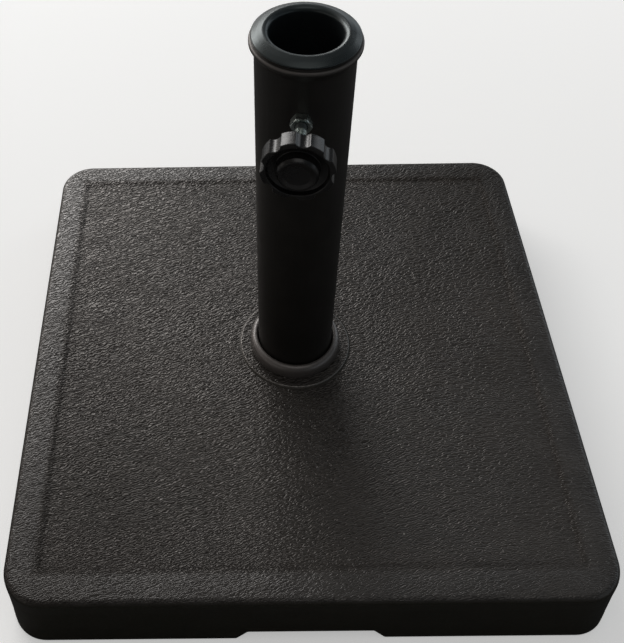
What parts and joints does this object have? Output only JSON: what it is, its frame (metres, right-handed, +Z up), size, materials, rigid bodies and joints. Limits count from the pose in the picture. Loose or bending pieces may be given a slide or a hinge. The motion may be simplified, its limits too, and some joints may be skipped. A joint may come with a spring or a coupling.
{
  "type": "parasol base",
  "caption": "Square concrete-filled plastic parasol base with grip notches, an upright tube, a lift-out reducer ring and a lobed clamp knob.",
  "frame": {"origin": "on the ground under the axis of the upright tube", "axes": "+Z up along the tube, -Y towards the side the clamp knob faces"},
  "size_m": [0.4196, 0.4196, 0.371],
  "materials": {
    "shell_plastic": "leather-grained moulded polyethylene, satin",
    "tray_plastic": "plain moulded, matt",
    "concrete": "cast, rough",
    "collar_plastic": "smooth moulded, satin",
    "tube_plastic": "smooth moulded, satin",
    "insert_plastic": "smooth moulded, semi-gloss",
    "knob_plastic": "moulded nylon, semi-gloss",
    "shoe_nylon": "plain nylon",
    "zinc_steel": "zinc plated",
    "foot_rubber": "matt"
  },
  "bodies": {
    "base": {"top_shell": "shell_plastic", "bottom_tray": "tray_plastic", "concrete_ballast": "concrete", "socket_sleeve": "collar_plastic", "upright_tube": "tube_plastic", "tube_end_plug": "tray_plastic", "anchor_bolt": "zinc_steel", "anchor_washer_lower": "zinc_steel", "anchor_washer_upper": "zinc_steel", "anchor_nut": "zinc_steel", "pole_rest": "tray_plastic", "clamp_bush": "zinc_steel", "bush_saddle_washer": "zinc_steel", "tray_screws": "zinc_steel", "foot_pads": "foot_rubber", "foot_pad_screws": "zinc_steel"},
    "reducer": {"reducer_insert": "insert_plastic"},
    "shoe": {"clamp_shoe": "shoe_nylon"},
    "knob": {"clamp_screw": "zinc_steel", "knob_body": "knob_plastic", "knob_cap": "knob_plastic"}
  },
  "joints": [
    {"name": "insert_lift", "type": "slide", "parent": "base", "child": "reducer", "axis": [0, 0, 1], "range_m": [0, 0.045]},
    {"name": "clamp_travel", "type": "slide", "parent": "base", "child": "shoe", "axis": [0.1149, 0.9934, 0], "range_m": [0, 0.02751]},
    {"name": "knob_spin", "type": "hinge", "parent": "shoe", "child": "knob", "pos_m": [-0.00862, -0.0745, 0.3223], "axis": [0.1149, 0.9934, 0], "range_deg": [0, 7920]}
  ],
  "couplings": [
    {"joint": "clamp_travel", "follows": "knob_spin", "m_per_rad": 0.00019894}
  ]
}
